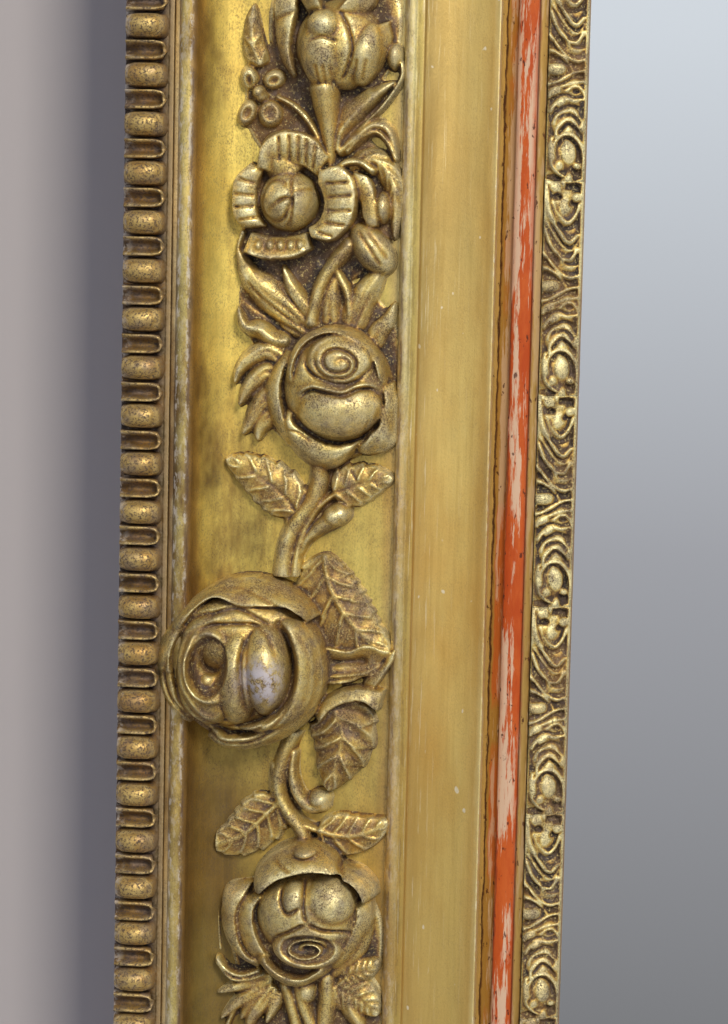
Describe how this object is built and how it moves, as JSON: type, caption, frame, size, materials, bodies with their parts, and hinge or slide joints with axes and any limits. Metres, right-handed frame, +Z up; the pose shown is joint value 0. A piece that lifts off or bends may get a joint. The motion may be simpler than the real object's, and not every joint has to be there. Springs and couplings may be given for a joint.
{
  "type": "pier mirror",
  "caption": "Tall rectangular looking glass in a deep gilt frame with a gadrooned outer edge, a garlanded frieze, a plain hollow and a red inner slip, hung flat on a wall.",
  "frame": {"origin": "on the wall plane, at the middle of the bottom rail's flat back, half way across the frame", "axes": "+Z up the wall, +X to the right as seen by someone facing the mirror, +Y into the wall, -Y to the room"},
  "size_m": [1.04, 0.0788, 1.84],
  "materials": {
    "gilt_wood": "worn water gilding on pine",
    "gilt_carving": "darkened gilding on a carved moulding",
    "gilt_composition": "darkened gilding on pressed composition",
    "red_bole": "worn red clay ground",
    "pine": "unfinished softwood, aged",
    "oak": "unfinished hardwood",
    "silvered_glass": "silvered on the back, slightly grey",
    "iron": "dark, slightly rusted",
    "brass": "dull"
  },
  "bodies": {
    "frame": {"backboard_1": "pine", "backboard_2": "pine", "backboard_3": "pine", "bottom_gadroon_moulding": "gilt_carving", "bottom_rail": "gilt_wood", "bottom_sight_ornament": "gilt_composition", "bottom_slip": "red_bole", "button_screw_left_lower": "iron", "button_screw_left_upper": "iron", "button_screw_right_lower": "iron", "button_screw_right_upper": "iron", "corner_rose_bottom_left": "gilt_composition", "corner_rose_bottom_right": "gilt_composition", "corner_rose_top_left": "gilt_composition", "corner_rose_top_right": "gilt_composition", "garland_bottom_left": "gilt_composition", "garland_bottom_right": "gilt_composition", "garland_left_lower": "gilt_composition", "garland_left_upper": "gilt_composition", "garland_right_lower": "gilt_composition", "garland_right_upper": "gilt_composition", "garland_top_left": "gilt_composition", "garland_top_right": "gilt_composition", "glass_spacer_bottom": "pine", "glass_spacer_left": "pine", "glass_spacer_right": "pine", "glass_spacer_top": "pine", "hanger_screw_left_lower": "iron", "hanger_screw_left_upper": "iron", "hanger_screw_right_lower": "iron", "hanger_screw_right_upper": "iron", "hanger_strap_left": "iron", "hanger_strap_right": "iron", "left_gadroon_moulding": "gilt_carving", "left_sight_ornament": "gilt_composition", "left_slip": "red_bole", "left_stile": "gilt_wood", "mirror_glass": "silvered_glass", "mitre_key_bottom_left": "oak", "mitre_key_bottom_right": "oak", "mitre_key_top_left": "oak", "mitre_key_top_right": "oak", "right_gadroon_moulding": "gilt_carving", "right_sight_ornament": "gilt_composition", "right_slip": "red_bole", "right_stile": "gilt_wood", "rose_boss_bottom": "gilt_composition", "rose_boss_left": "gilt_composition", "rose_boss_right": "gilt_composition", "rose_boss_top": "gilt_composition", "top_gadroon_moulding": "gilt_carving", "top_rail": "gilt_wood", "top_sight_ornament": "gilt_composition", "top_slip": "red_bole"},
    "hanger_ring_left": {"hanger_ring_left": "iron"},
    "hanger_ring_right": {"hanger_ring_right": "iron"},
    "turn_button_left_lower": {"turn_button_left_lower": "brass"},
    "turn_button_left_upper": {"turn_button_left_upper": "brass"},
    "turn_button_right_lower": {"turn_button_right_lower": "brass"},
    "turn_button_right_upper": {"turn_button_right_upper": "brass"}
  },
  "joints": [
    {"name": "hanger_ring_left_swing", "type": "hinge", "parent": "frame", "child": "hanger_ring_left", "pos_m": [-0.44375, -0.00915, 1.5155], "axis": [1, 0, 0], "range_deg": [0, 180]},
    {"name": "hanger_ring_right_swing", "type": "hinge", "parent": "frame", "child": "hanger_ring_right", "pos_m": [0.44375, -0.00915, 1.5155], "axis": [1, 0, 0], "range_deg": [0, 180]},
    {"name": "turn_button_left_lower_turn", "type": "hinge", "parent": "frame", "child": "turn_button_left_lower", "pos_m": [-0.423, -0.0122, 0.5275], "axis": [0, 1, 0], "continuous": true},
    {"name": "turn_button_left_upper_turn", "type": "hinge", "parent": "frame", "child": "turn_button_left_upper", "pos_m": [-0.423, -0.0122, 1.2635], "axis": [0, 1, 0], "continuous": true},
    {"name": "turn_button_right_lower_turn", "type": "hinge", "parent": "frame", "child": "turn_button_right_lower", "pos_m": [0.423, -0.0122, 0.5275], "axis": [0, 1, 0], "continuous": true},
    {"name": "turn_button_right_upper_turn", "type": "hinge", "parent": "frame", "child": "turn_button_right_upper", "pos_m": [0.423, -0.0122, 1.2635], "axis": [0, 1, 0], "continuous": true}
  ]
}
